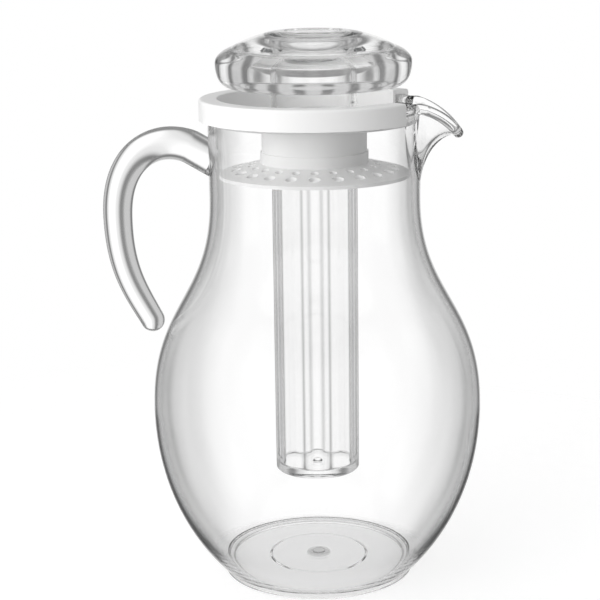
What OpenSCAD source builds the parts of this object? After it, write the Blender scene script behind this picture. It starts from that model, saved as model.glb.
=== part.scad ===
// Pitcher with an ice core: clear jug, white drop-on lid with strainer, clear fluted ice tube and clear knob.
// Millimetres. +Z is up, +X points along the spout, the handle is on -X.
// The origin is the centre of the foot, on the surface that the jug stands on.

/* [Jug body] */
// Largest outside diameter of the bulb
bulb_d = 150; // [140:1:160]
// Height of the bulb's widest place
bulb_z = 80; // [72:1:88]
// Outside diameter of the neck
neck_d = 94.7; // [92.5:0.1:97.5]
// Height of the jug's rim
rim_z = 218.3; // [214:0.1:226]
// Height of the straight neck, from where the bulb has drawn in up to the rim
neck_h = 42.3; // [40:0.1:48]
// Wall of the neck
neck_wall = 2.8; // [2.2:0.1:3.2]
// Wall of the bulb at its widest place
bulb_wall = 2; // [1.6:0.1:3]
// Thickness of the floor
floor_wall = 3; // [2:0.1:4]
// Outside diameter of the foot ring
foot_d = 88; // [80:1:92]
// Height of the foot ring
foot_h = 3.4; // [3:0.1:5]
// Width of the foot ring
foot_w = 3.2; // [2.5:0.1:5]
// Hollow under the floor, inside the foot ring
foot_hollow = 2; // [1:0.1:2.4]
// Diameter of the raised step ring under the floor
step_d = 45.4; // [36:0.2:56]
// Depth of that step
step_deep = 0.6; // [0.3:0.1:1]
// Diameter of the round gate mark in the middle of the floor
gate_d = 5.8; // [3:0.1:8]
// Thickness of the round bead along the rim and the spout's edge
bead_d = 4.7; // [4:0.1:5.6]

/* [Spout] */
// Reach of the spout's tip from the jug's axis
spout_reach = 66.4; // [62:0.2:72]
// Drop from the rim to the top of the bead at the tip
spout_drop = 12.2; // [10:0.1:14]
// Half angle of the sector of the neck that the spout fills
spout_half_angle = 22; // [18:1:30]
// Wall of the spout
spout_wall = 2.6; // [2:0.1:3]

/* [Handle] */
// Drop from the rim to the middle of the handle's root
root_drop = 24.2; // [19:0.1:28]
// Diameter of the handle at its root
root_d = 15.2; // [12:0.1:17]
// Diameter of the handle half way along
grip_d = 13; // [10:0.1:15]
// Diameter of the handle at its tip
tip_d = 10.9; // [8:0.1:13]
// Distance of the grip's centre line from the jug's axis
grip_reach = 88.9; // [84:0.1:98]
// Drop from the root to the place where the grip runs straight down
grip_drop = 26.1; // [20:0.1:34]
// Distance of the tip's centre from the jug's axis
tip_reach = 74.7; // [70:0.1:84]
// Drop from there to the tip's centre
tip_drop = 48.5; // [38:0.5:58]

/* [Lid] */
// Wall of the lid's skirt
skirt_wall = 1.75; // [1.4:0.05:2.2]
// Side play between the skirt and the jug's bead
skirt_play = 0.3; // [0.2:0.05:0.6]
// Thickness of the lid over the jug's rim
lid_top = 2.2; // [1.6:0.1:3]
// Height of the skirt, top to lower edge
skirt_h = 9.4; // [7:0.1:12]
// Depth of the round recess in the lid
recess_h = 9.3; // [6:0.1:12]
// Thickness of the recess floor
plate_wall = 1.8; // [1.4:0.1:3]
// Wall of the recess
recess_wall = 1.3; // [1:0.1:1.5]
// Side play between the recess wall and the jug's bore
lid_play = 0.5; // [0.3:0.1:0.6]
// Half angle of the gap in the lid's rim for the spout
gap_half_angle = 36; // [34:1:45]
// Turn of the lid from the spout, as it was set down for the photograph
lid_turn = -4; // [-10:1:10]
// Rounding of the lid's outer edge
lid_round = 1.3; // [0.6:0.1:1.5]
// Height of the collar that the knob's stem passes, above the recess floor
collar_h = 2.4; // [1:0.1:5]
// Outside diameter of the socket under the lid
socket_d = 47; // [46.2:0.1:49]
// Depth of the socket below the recess floor, down to where the strainer starts
socket_h = 12.8; // [10:0.1:15]
// Outside diameter of the spigot that the strainer clips onto
spigot_d = 44.6; // [44.2:0.1:45.4]
// Length of the spigot
spigot_h = 5.6; // [4:0.1:6.5]

/* [Strainer] */
// Side play between the strainer's disc and the jug's bore
strainer_play = 1.95; // [1:0.05:3.5]
// Height of the collar above the disc
strainer_collar_h = 5; // [3.6:0.1:7]
// Drop of the disc from the collar to its rim
cone_h = 4.4; // [3:0.1:6]
// Thickness of the disc
strainer_wall = 1.5; // [1:0.1:2.5]
// Outside diameter of the strainer's collar
strainer_collar_d = 48.4; // [47.6:0.1:50]
// Number of holes in each row
holes_n = 22; // [12:1:24]
// Diameter of the outer holes
outer_hole_d = 4.9; // [3:0.1:5.5]
// Distance of the outer row of holes in from the disc's edge
outer_row_in = 7.4; // [6:0.1:8.5]
// Diameter of the inner holes
inner_hole_d = 3.4; // [2:0.1:4]
// Distance of the inner row of holes out from the collar
inner_row_out = 4; // [3.3:0.1:4.8]

/* [Ice tube] */
// Outside diameter of the ice tube
tube_d = 38.6; // [36:0.1:39]
// Length of the ice tube
tube_h = 156.4; // [115:0.1:165]
// Number of flutes inside
flutes_n = 6; // [5:1:8]
// Distance of a flute's crest from the tube's axis
flute_crest = 16.3; // [15:0.1:16.6]
// Radius of each flute
flute_r = 8.4; // [8.2:0.1:8.8]
// Thickness of the tube's floor
tube_floor = 3; // [2:0.1:5]
// Rounding of the tube's lower edge
tube_round = 2; // [1:0.1:2.5]
// Height of the plain neck that screws into the lid
tube_neck_h = 11; // [9:0.5:14]

/* [Knob] */
// Largest diameter of the knob
knob_d = 87; // [84:0.2:92]
// Height of the knob's widest place above the lid
knob_up = 15.5; // [14:0.1:19]
// Height of the dome above the knob's widest place
dome_h = 13.6; // [11:0.1:17]
// Diameter of the line where the dome meets the knob's round rim
shoulder_d = 80; // [76:0.2:82]
// Height of that line above the knob's widest place
shoulder_up = 5; // [3.5:0.1:6.5]
// Thickness of the dome at its edge
dome_edge = 2; // [1.6:0.1:2.6]
// Thickness of the dome at its middle
dome_wall = 4; // [3:0.1:5]
// Height of the knob's belly below its widest place
belly_h = 11; // [9.5:0.1:12.5]
// Outside diameter of the knob's hollow stem
stem_d = 38.4; // [36:0.1:38.8]
// Wall of the stem
stem_wall = 2.5; // [2:0.1:3]
// Diameter of the ring-shaped hollow under the knob
hollow_d = 58.6; // [52:0.2:64]
// Height above the knob's widest place at which that hollow widens under the dome
hollow_up = 0.4; // [0.2:0.1:1.2]
// Diameter of the flat dish on top of the dome
dish_d = 26.6; // [18:0.1:30]
// Depth of that dish
dish_deep = 0.5; // [0.3:0.1:1]
// Length of the plug below the stem
plug_h = 8; // [6:0.1:9.5]

/* [Seals] */
// Thickness of the flat sealing ring on the tube
ring_h = 1.6; // [1:0.1:2.4]
// Thickness of the O-ring round the knob's plug
oring_t = 2; // [1.6:0.1:2.4]

/* [Hidden] */
$fn = 96;
clear_colour = [0.86, 0.9, 0.92, 0.35];
white_colour = [0.95, 0.95, 0.95];
seal_colour = [0.8, 0.82, 0.84];
overrun = 1;
fit_gap = 0.3;
clip_gap = 0.12;
oring_gap = 0.08;
curve_steps = 24;
arc_steps = 8;

// Jug body
bulb_r = bulb_d / 2;
neck_r = neck_d / 2;
neck_z = rim_z - neck_h;
foot_r = foot_d / 2;
bore_r = neck_r - neck_wall;
// Where the bulb leaves the foot, beside and above it
heel_out = 1.6;
heel_r = foot_r + heel_out;
// How far each outline curve runs straight at its ends, as shares of its height
heel_out_share = 0.28;
heel_up_share = 0.11;
belly_low_share = 0.57;
belly_high_share = 0.489;
neck_low_share = 0.479;

gate_h = 0.5;

// Bead: its centre line runs round the rim and falls along the spout's edge to the tip
bead_r = bead_d / 2;
// The bead is cut flat where the lid rests on it, and cut back to the bore
bead_flat = 0.15;
bead_in = 0.1;
bead_out_r = bore_r - bead_in + bead_r;
bead_z = rim_z + bead_flat - bead_r;
tip_r = spout_reach - bead_r;
tip_z = rim_z - spout_drop - bead_r;
bead_sides = 12;
bead_steps = 48;
// The faceted bead is a little thinner than the round one that its ends go into
bead_sink = 0.03;
bead_end_angle = 24;
bead_lap_angle = 1.5;

// Spout
throat_low_gap = 1.5;
throat_z = neck_z + throat_low_gap;
// The spout's outside ends a little under the bead's centre line and its inside a little over it
edge_under = 0.55;
edge_over = 0.75;
edge_in = 0.2;
lip_fall_r = 32;
// The spout's ridge falls away to its sides by this power
ridge_power_share = 1.5;
spout_levels = 10;
spout_steps = 36;

// Lid
lid_r = bead_out_r + bead_r + skirt_play + skirt_wall;
lid_z = rim_z + lid_top;
skirt_low_z = lid_z - skirt_h;
recess_out_r = bore_r - lid_play;
recess_r = recess_out_r - recess_wall;
plate_top_z = lid_z - recess_h;
plate_low_z = plate_top_z - plate_wall;
collar_z = plate_top_z + collar_h;
stem_r = stem_d / 2;
collar_bore_r = stem_r + fit_gap;
collar_r = collar_bore_r + plate_wall;
spigot_r = spigot_d / 2;
socket_r = socket_d / 2;
socket_z = plate_low_z - socket_h;
spigot_low_z = socket_z - spigot_h;
ledge_drop = 3.4;
ledge_z = plate_low_z - ledge_drop;
inner_round = 0.7;
gap_sink = 0.1;

// Strainer
cone_z = socket_z - strainer_collar_h;
strainer_z = cone_z - cone_h;

// Ice tube
tube_r = tube_d / 2;
tube_top_z = ledge_z - ring_h;
tube_low_z = tube_top_z - tube_h;
spigot_wall = 1.4;
neck_out_r = spigot_r - spigot_wall - fit_gap;
socket_bore_r = neck_out_r + fit_gap;
tube_neck_z = tube_top_z - tube_neck_h;
tube_taper = neck_out_r - tube_r;
flute_centre = flute_crest - flute_r;
mouth_step = 0.6;
mouth_r = flute_crest + mouth_step;
mouth_spare = 2;
mouth_h = plug_h + mouth_spare;
gate_r = gate_d / 2;

// Knob
knob_r = knob_d / 2;
knob_z = lid_z + knob_up;
knob_top_z = knob_z + dome_h;
knob_low_z = knob_z - belly_h;
shoulder_r = shoulder_d / 2;
shoulder_z = knob_z + shoulder_up;
hollow_turn_z = knob_z + hollow_up;
hollow_roof_z = knob_top_z - dome_wall;
stem_low_z = tube_top_z + ring_h;
plug_r = mouth_r - fit_gap;
plug_low_z = stem_low_z - plug_h;
plug_wall = 3.2;
stem_bore_r = stem_r - stem_wall;
hollow_r = hollow_d / 2;
dish_r = dish_d / 2;
roof_round = 3;
rim_low_share = 0.43;
dome_top_share = 0.32;
dome_low_share = 0.7;
dome_lean_share = 0.49;
rim_out_share = 0.36;
rim_top_share = 0.8;
rim_mid_share = 0.5;
belly_down_share = 0.81;
low_out_share = 0.47;

// O-ring in its groove
groove_up = 2.2;
groove_z = plug_low_z + groove_up;
oring_r = oring_t / 2;
oring_mid_r = mouth_r - oring_gap - oring_r;
groove_r = oring_mid_r - oring_r - oring_gap;
groove_h = oring_t + 2 * oring_gap;

function bezier(a, b, c, d, n = curve_steps) =
    [for (i = [0:n]) let (t = i / n, u = 1 - t)
        u * u * u * a + 3 * u * u * t * b + 3 * u * t * t * c + t * t * t * d];
function arc(centre, r, from, to, n = arc_steps) =
    [for (i = [0:n]) let (w = from + (to - from) * i / n) centre + r * [cos(w), sin(w)]];
function shrink(points, by) =
    [for (i = [0:len(points) - 1])
        let (a = points[max(i - 1, 0)], b = points[min(i + 1, len(points) - 1)], t = (b - a) / norm(b - a))
        points[i] + by[i] * [-t[1], t[0]]];
function mix(a, b, t) = a + (b - a) * t;

// Outline of the jug's outside from the heel to the neck
low_span = bulb_z - foot_h;
high_span = neck_z - bulb_z;
low_curve = bezier([heel_r, foot_h],
                   [heel_r + heel_out_share * (bulb_r - heel_r), foot_h + heel_up_share * low_span],
                   [bulb_r, bulb_z - belly_low_share * low_span],
                   [bulb_r, bulb_z]);
high_curve = bezier([bulb_r, bulb_z],
                    [bulb_r, bulb_z + belly_high_share * high_span],
                    [neck_r, neck_z - neck_low_share * high_span],
                    [neck_r, neck_z]);
// The inside follows the outside, one wall in
low_in = shrink(low_curve, [for (i = [0:curve_steps]) mix(floor_wall, bulb_wall, i / curve_steps)]);
high_in = shrink(high_curve, [for (i = [0:curve_steps]) mix(bulb_wall, neck_wall, i / curve_steps)]);
floor_z = foot_hollow + floor_wall;
// Inner points that lie above the floor
low_in_free = [for (p = low_in) if (p[1] > floor_z + step_deep) p];
floor_edge = 2.4;
floor_r = low_in_free[0][0] - floor_edge;

module jug_outside() {
    rotate_extrude()
        polygon(concat([[0, 0], [foot_r, 0]],
                       low_curve,
                       [for (i = [1:curve_steps]) high_curve[i]],
                       [[neck_r, bead_z], [0, bead_z]]));
}
module rim_bead() {
    rotate([0, 0, bead_end_angle])
        rotate_extrude(angle = 360 - 2 * bead_end_angle)
            difference() {
                translate([bead_out_r, bead_z])
                    circle(r = bead_r);
                translate([bore_r / 2, rim_z])
                    square([neck_r, bead_r]);
            }
}
module jug_inside() {
    rotate_extrude()
        polygon(concat([[0, floor_z], [floor_r, floor_z]],
                       low_in_free,
                       [for (i = [1:curve_steps]) high_in[i]],
                       [[bore_r, rim_z + overrun], [0, rim_z + overrun]]));
}

// How far the spout stands out at the angle w, as a share of its reach
function spout_angle(i) = mix(-spout_half_angle, spout_half_angle, i / spout_steps);
function ridge(w) = abs(w) < spout_half_angle ? pow(1 - pow(w / spout_half_angle, 2), ridge_power_share) : 0;
// Ring of a spout surface, at the share rise of its way from the height low up to the heights of the list high
function spout_ring(neck, out, low, high, rise, deep) =
    concat([[deep, 0, mix(low, high[0], rise)]],
           [for (i = [0:spout_steps])
               let (w = spout_angle(i), reach = neck + out * ridge(w))
               [reach * cos(w), reach * sin(w), mix(low, high[i], rise)]]);
// Solid between rings of equal length, closed at both ends
module loft(rings) {
    n = len(rings[0]);
    m = len(rings);
    points = [for (ring = rings) each ring];
    polyhedron(points,
               concat([[for (i = [0:n - 1]) i]],
                      [for (k = [0:m - 2]) for (i = [0:n - 1]) let (j = (i + 1) % n)
                          [k * n + i, (k + 1) * n + i, (k + 1) * n + j]],
                      [for (k = [0:m - 2]) for (i = [0:n - 1]) let (j = (i + 1) % n)
                          [k * n + i, (k + 1) * n + j, k * n + j]],
                      [[for (i = [n - 1:-1:0]) (m - 1) * n + i]]));
}
// The spout's surface leaves a round neck upright and bends out to the edge line in a quarter of an ellipse
module spout_solid(neck, to, low, above, high) {
    deep = neck / 2;
    out = to - neck;
    edge = [for (i = [0:spout_steps]) lip_at(spout_angle(i))[2] + above];
    top = [for (i = [0:spout_steps]) high];
    loft(concat([for (i = [0:spout_levels]) let (a = 90 * i / spout_levels)
                    spout_ring(neck, out * (1 - cos(a)), low, edge, sin(a), deep)],
                [spout_ring(neck, out, low, top, 1, deep)]));
}
// Height of the bead's centre line at the distance x along the spout
lip_span = [tip_r, tip_z] - [bead_out_r, bead_z];
lip_rise = sqrt(lip_fall_r * lip_fall_r - pow(norm(lip_span) / 2, 2));
lip_centre = [bead_out_r, bead_z] + lip_span / 2 + lip_rise * [lip_span[1], -lip_span[0]] / norm(lip_span);
function lip_z(x) =
    x < bead_out_r ? bead_z : lip_centre[1] + sqrt(lip_fall_r * lip_fall_r - pow(x - lip_centre[0], 2));
// All above the bead's centre line, seen from the side
module lip_cut() {
    high = rim_z + neck_r;
    wide = spout_reach + neck_r;
    rotate([90, 0, 0])
        linear_extrude(neck_d, center = true)
            polygon(concat([[bore_r / 2, bead_z]],
                           [for (i = [0:arc_steps]) let (x = mix(bead_out_r, tip_r, i / arc_steps)) [x, lip_z(x)]],
                           [[wide, lip_z(tip_r)], [wide, high], [bore_r / 2, high]]));
}
// The bead along the spout's edge: rings square to its centre line
function lip_at(w) =
    let (r = mix(bead_out_r, tip_r, ridge(w)), p = [r * cos(w), r * sin(w)]) [p[0], p[1], lip_z(p[0])];
module lip_bead() {
    r = bead_r - bead_sink;
    last = bead_end_angle + bead_lap_angle;
    line = [for (i = [0:bead_steps]) lip_at(mix(-last, last, i / bead_steps))];
    loft([for (i = [0:bead_steps])
        let (d = line[min(i + 1, bead_steps)] - line[max(i - 1, 0)],
             t = d / norm(d),
             side = cross(t, [0, 0, 1]) / norm(cross(t, [0, 0, 1])),
             up = cross(t, side))
        [for (k = [0:bead_sides - 1]) let (a = 360 * (k + 1 / 2) / bead_sides)
            line[i] + r * cos(a) * side + r * sin(a) * up]]);
}

module jug_body() {
    color(clear_colour)
    difference() {
        union() {
            jug_outside();
            spout_solid(neck_r - fit_gap, tip_r, throat_z, -edge_under, rim_z + overrun);
        }
        jug_inside();
        spout_solid(bore_r - overrun, tip_r - edge_in, throat_z + 2 * spout_wall, edge_over, rim_z + 2 * overrun);
        lip_cut();
        // hollow under the floor, with its stepped middle
        translate([0, 0, -overrun])
            cylinder(h = foot_hollow + overrun, r = foot_r - foot_w);
        translate([0, 0, -overrun])
            cylinder(h = foot_hollow + step_deep + overrun, r = step_d / 2);
    }
    color(clear_colour)
    difference() {
        rim_bead();
        jug_inside();
    }
    color(clear_colour)
        lip_bead();
    color(clear_colour)
        translate([0, 0, floor_z - gate_h])
            cylinder(h = 2 * gate_h, r = gate_r);
}

// Handle: one tapering rod along two curves, from the neck's outside to the free, rounded tip
bond_gap = 0.05;
rise_out_share = 0.41;
rise_up_share = 0.33;
bend_up_share = 0.66;
fall_share = 0.52;
lead_in_share = 0.5;
lead_up_share = 0.277;
// The rod runs straight from the neck for this share of its diameter
straight_share = 0.55;
handle_steps = 18;
handle_sides = 24;
cap_rings = 3;
tip_rings = 5;
rod_span = grip_reach - neck_r;
root_z = rim_z - root_drop;
grip_z = root_z - grip_drop;
end_z = grip_z - tip_drop;
root_at = [-neck_r, root_z];
upper_rod = bezier(root_at,
                   root_at + rod_span * [-rise_out_share, rise_up_share],
                   [-grip_reach, grip_z + bend_up_share * tip_drop],
                   [-grip_reach, grip_z], handle_steps);
lower_rod = bezier([-grip_reach, grip_z],
                   [-grip_reach, grip_z - fall_share * tip_drop],
                   [-tip_reach - lead_in_share * (grip_reach - tip_reach), end_z + lead_up_share * tip_drop],
                   [-tip_reach, end_z], handle_steps);
rod = concat([root_at],
             [for (p = upper_rod) if (norm(p - root_at) > straight_share * root_d) p],
             [for (i = [1:handle_steps]) lower_rod[i]]);

// Circle of radius r round a point of the XZ plane, square to the direction t
function rod_ring(at, t, r) =
    [for (k = [0:handle_sides - 1]) let (w = -360 * k / handle_sides)
        [at[0] - r * cos(w) * t[1], r * sin(w), at[1] + r * cos(w) * t[0]]];
// Each point moves along t until it meets the round neck
function onto_neck(points, t) =
    [for (p = points) let (x = -sqrt(pow(neck_r + bond_gap, 2) - p[1] * p[1]), s = (x - p[0]) / t[0])
        [x, p[1], p[2] + s * t[1]]];
// Solid between rings of equal length, closed at each end by triangles round a point
module rod_solid(first, rings, last) {
    n = len(rings[0]);
    m = len(rings);
    points = concat([first], [for (ring = rings) each ring], [last]);
    polyhedron(points,
               concat([for (i = [0:n - 1]) [1 + i, 1 + (i + 1) % n, 0]],
                      [for (k = [0:m - 2]) for (i = [0:n - 1]) let (j = (i + 1) % n)
                          [1 + k * n + i, 1 + (k + 1) * n + i, 1 + (k + 1) * n + j]],
                      [for (k = [0:m - 2]) for (i = [0:n - 1]) let (j = (i + 1) % n)
                          [1 + k * n + i, 1 + (k + 1) * n + j, 1 + k * n + j]],
                      [for (i = [0:n - 1]) [1 + (m - 1) * n + (i + 1) % n, 1 + (m - 1) * n + i, m * n + 1]]));
}

module handle() {
    n = len(rod);
    way = [for (i = [0:n - 1]) let (d = rod[min(i + 1, n - 1)] - rod[max(i - 1, 0)]) d / norm(d)];
    end_r = tip_d / 2;
    root_rings = [for (k = [1:cap_rings])
        onto_neck(rod_ring(root_at, way[0], root_d / 2 * k / cap_rings), way[0])];
    rod_rings = [for (i = [1:n - 1]) let (s = 2 * i / (n - 1))
        rod_ring(rod[i], way[i], (s < 1 ? mix(root_d, grip_d, s) : mix(grip_d, tip_d, s - 1)) / 2)];
    end_rings = [for (k = [1:tip_rings - 1]) let (w = 90 * k / tip_rings)
        rod_ring(rod[n - 1] + end_r * sin(w) * way[n - 1], way[n - 1], end_r * cos(w))];
    tip = rod[n - 1] + end_r * way[n - 1];
    color(clear_colour)
    rod_solid([-neck_r - bond_gap, 0, root_z], concat(root_rings, rod_rings, end_rings), [tip[0], 0, tip[1]]);
}

module lid_section() {
    polygon(concat(
        [[lid_r - skirt_wall, skirt_low_z], [lid_r, skirt_low_z]],
        arc([lid_r - lid_round, lid_z - lid_round], lid_round, 0, 90),
        arc([recess_r + inner_round, lid_z - inner_round], inner_round, 90, 180),
        [[recess_r, plate_top_z], [collar_r, plate_top_z], [collar_r, collar_z], [collar_bore_r, collar_z],
         [collar_bore_r, ledge_z], [socket_bore_r, ledge_z], [socket_bore_r, spigot_low_z],
         [spigot_r, spigot_low_z], [spigot_r, socket_z], [socket_r, socket_z], [socket_r, plate_low_z],
         [recess_out_r, plate_low_z], [recess_out_r, rim_z], [lid_r - skirt_wall, rim_z]]));
}
module lid() {
    reach = lid_r + overrun;
    color(white_colour)
    difference() {
        rotate_extrude()
            lid_section();
        // gap for the spout through the whole rim, down to just under the recess floor's top
        difference() {
            rotate([0, 0, lid_turn])
                translate([0, 0, skirt_low_z - overrun])
                    linear_extrude(skirt_h + 2 * overrun)
                        polygon([[0, 0],
                                 reach * [1, -tan(gap_half_angle)],
                                 reach * [1, tan(gap_half_angle)]]);
            translate([0, 0, skirt_low_z - 2 * overrun])
                cylinder(h = skirt_h + 4 * overrun, r = recess_r - fit_gap);
            translate([0, 0, skirt_low_z - 2 * overrun])
                cylinder(h = plate_top_z - gap_sink - skirt_low_z + 2 * overrun, r = recess_out_r + overrun);
        }
    }
}

module strainer() {
    strainer_r = bore_r - strainer_play;
    out_r = strainer_collar_d / 2;
    in_r = spigot_r + clip_gap;
    color(white_colour)
    difference() {
        rotate_extrude()
            polygon([[in_r, cone_z - strainer_wall], [strainer_r, strainer_z - strainer_wall],
                     [strainer_r, strainer_z], [out_r, cone_z], [out_r, socket_z], [in_r, socket_z]]);
        for (i = [0:holes_n - 1])
            rotate([0, 0, 360 * (i + 1 / 2) / holes_n]) {
                translate([strainer_r - outer_row_in, 0, strainer_z - 2 * strainer_wall])
                    cylinder(h = socket_z - strainer_z, d = outer_hole_d, $fn = 24);
                translate([out_r + inner_row_out, 0, strainer_z - 2 * strainer_wall])
                    cylinder(h = socket_z - strainer_z + strainer_wall, d = inner_hole_d, $fn = 24);
            }
    }
}

module flutes() {
    for (i = [0:flutes_n - 1])
        rotate([0, 0, -90 + 360 * i / flutes_n])
            translate([flute_centre, 0])
                circle(r = flute_r);
    circle(r = flute_centre);
}
module ice_tube() {
    color(clear_colour)
    difference() {
        rotate_extrude()
            polygon(concat([[0, tube_low_z]],
                           arc([tube_r - tube_round, tube_low_z + tube_round], tube_round, -90, 0),
                           [[tube_r, tube_neck_z - tube_taper], [neck_out_r, tube_neck_z],
                            [neck_out_r, tube_top_z], [0, tube_top_z]]));
        translate([0, 0, tube_low_z + tube_floor])
            linear_extrude(tube_top_z - tube_low_z)
                flutes();
        translate([0, 0, tube_top_z - mouth_h])
            cylinder(h = mouth_h + overrun, r = mouth_r);
    }
    color(clear_colour)
        translate([0, 0, tube_low_z + tube_floor - gate_h])
            cylinder(h = 2 * gate_h, r = gate_r);
}

module tube_seal_ring() {
    color(seal_colour)
        translate([0, 0, tube_top_z])
            difference() {
                cylinder(h = ring_h, r = neck_out_r);
                translate([0, 0, -overrun])
                    cylinder(h = ring_h + 2 * overrun, r = mouth_r);
            }
}

// The knob's outline: dome, round rim, hollow that widens under the dome, stem and grooved plug
hollow_rim_r = hollow_r + rim_low_share * (knob_r - hollow_r);
dome_curve = bezier([dish_r, knob_top_z],
                    [mix(dish_r, shoulder_r, dome_top_share), knob_top_z],
                    [mix(dish_r, shoulder_r, dome_low_share), mix(shoulder_z, knob_top_z, dome_lean_share)],
                    [shoulder_r, shoulder_z]);
rim_curve = bezier([shoulder_r, shoulder_z],
                   [mix(shoulder_r, knob_r, rim_out_share), mix(knob_z, shoulder_z, rim_top_share)],
                   [knob_r, mix(knob_z, shoulder_z, rim_mid_share)],
                   [knob_r, knob_z]);
belly_curve = bezier([hollow_rim_r, knob_low_z],
                     [mix(hollow_rim_r, knob_r, low_out_share), knob_low_z],
                     [knob_r, knob_z - belly_down_share * belly_h],
                     [knob_r, knob_z]);
module knob() {
    color(clear_colour)
    rotate_extrude()
        polygon(concat(
            [[0, knob_top_z - dish_deep], [dish_r - dish_deep, knob_top_z - dish_deep]],
            dome_curve,
            [for (i = [1:curve_steps]) rim_curve[i]],
            [for (i = [1:curve_steps]) belly_curve[curve_steps - i]],
            [[hollow_r, knob_low_z + (hollow_rim_r - hollow_r)]],
            [[hollow_r, hollow_turn_z], [shoulder_r - dome_edge, shoulder_z - dome_edge],
             [stem_r, hollow_roof_z], [stem_r, stem_low_z], [plug_r, stem_low_z],
             [plug_r, groove_z + groove_h], [groove_r, groove_z + groove_h],
             [groove_r, groove_z], [plug_r, groove_z],
             [plug_r, plug_low_z], [plug_r - plug_wall, plug_low_z],
             [plug_r - plug_wall, stem_low_z], [stem_bore_r, stem_low_z + stem_wall]],
            arc([stem_bore_r - roof_round, hollow_roof_z - roof_round], roof_round, 0, 90),
            [[0, hollow_roof_z]]));
}

module knob_o_ring() {
    color(seal_colour)
        translate([0, 0, groove_z + groove_h / 2])
            rotate_extrude()
                translate([oring_mid_r, 0])
                    circle(r = oring_r, $fn = 32);
}

jug_body();
handle();
lid();
strainer();
ice_tube();
tube_seal_ring();
knob();
knob_o_ring();
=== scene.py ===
"""Looks of the pitcher with ice core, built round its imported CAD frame, in its frame and metres."""

import math

import bmesh
import bpy
from mathutils import Matrix, Vector

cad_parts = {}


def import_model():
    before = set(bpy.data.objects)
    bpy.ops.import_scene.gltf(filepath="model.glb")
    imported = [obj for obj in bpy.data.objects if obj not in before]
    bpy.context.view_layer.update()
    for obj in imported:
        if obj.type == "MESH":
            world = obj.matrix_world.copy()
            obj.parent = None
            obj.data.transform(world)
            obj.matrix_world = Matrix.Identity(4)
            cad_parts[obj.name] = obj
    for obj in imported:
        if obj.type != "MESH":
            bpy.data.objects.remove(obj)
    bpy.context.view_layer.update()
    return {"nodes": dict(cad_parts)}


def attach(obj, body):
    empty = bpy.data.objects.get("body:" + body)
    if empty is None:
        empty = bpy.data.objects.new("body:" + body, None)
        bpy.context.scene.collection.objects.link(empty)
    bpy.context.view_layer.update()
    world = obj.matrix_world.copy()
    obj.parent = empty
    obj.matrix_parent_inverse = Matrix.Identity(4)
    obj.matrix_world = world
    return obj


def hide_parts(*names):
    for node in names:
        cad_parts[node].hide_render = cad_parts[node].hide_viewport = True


MM = 0.001

# ---- sizes in millimetres; R is a radius, Z a height. Shares place the inner points of the curves.

# Jug: widest place, neck and walls
BULB_R, BULB_Z = 75.0, 80.0
NECK_R, NECK_Z = 47.35, 176.0
NECK_WALL, BULB_WALL, FLOOR_WALL = 2.8, 2.0, 3.0
BORE_R = NECK_R - NECK_WALL
HEEL_LEAN_SHARE, HEEL_RISE_SHARE = 0.28, 0.11
BULB_DOWN_SHARE, BULB_UP_SHARE, NECK_DOWN_SHARE = 0.57, 0.489, 0.479
# Foot ring, the hollow under the floor, and the stepped middle with the groove round it
FOOT_R, FOOT_H, FOOT_W, FOOT_HOLLOW, HEEL_OUT = 44.0, 3.4, 3.2, 2.0, 1.6
STEP_R, STEP_DEEP, STEP_SLOPE, STEP_GROOVE = 22.7, 0.6, 0.55, 1.0
# Inside, where the wall turns into the floor
TURN_UP, TURN_IN, TURN_R = 2.4, 2.6, 3.0
# Rolled edge, spout and the throat below it
BEAD_R, BEAD_OUT_R, BEAD_Z = 2.35, 46.8, 216.1
SPOUT_TIP_R, SPOUT_TIP_Z, LIP_FALL_R = 64.05, 203.75, 32.0
SPOUT_HALF_DEG, SPOUT_POWER = 22.0, 1.5
THROAT_OUT_Z, THROAT_IN_Z = 177.5, 182.7
EDGE_UNDER, EDGE_OVER, EDGE_IN = 0.55, 0.75, 0.2
SPARE_OUT, SPARE_IN = 0.3, 1.0
# Mark of the mould's gate: a low disc, with turned rings round it
GATE_R, GATE_H, GATE_MARK_R, GATE_RIDGE, GATE_RINGS = 2.9, 0.5, 5.5, 0.12, 6

# Handle: root in the neck's wall, straight grip, rounded free end
ROOT_Z, ROOT_R, GRIP_R, TIP_R = 194.1, 7.6, 6.5, 5.45
GRIP_REACH, GRIP_Z, TIP_REACH, TIP_Z = 88.9, 168.0, 74.7, 119.5
ROOT_OUT_SHARE, ROOT_UP_SHARE, GRIP_UP_SHARE = 0.41, 0.33, 0.66
GRIP_DOWN_SHARE, TIP_LEAN_SHARE, TIP_UP_SHARE = 0.52, 0.5, 0.277
ROOT_STRAIGHT_SHARE = 0.55

# Ice tube and its fluted bore
TUBE_R, TUBE_LOW_Z, TUBE_TOP_Z, TUBE_FLOOR = 19.3, 48.0, 204.4, 3.0
TUBE_NECK_R, TUBE_NECK_Z, MOUTH_R, MOUTH_Z, MOUTH_STEP = 20.6, 193.4, 16.9, 194.4, 0.3
TUBE_EDGE_R, TUBE_BEND_R, MOUTH_BEND_R = 1.2, 0.4, 0.15
FLUTE_CENTRE, FLUTE_R, FLUTES, RIDGE_SOFT = 7.9, 8.4, 6, math.radians(9)
TUBE_MARK_R = 3.4
TUBE_MARK = ((2.9, 0.25), (2.6, 0.5), (1.3, 0.55), (0, 0.55))

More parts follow.
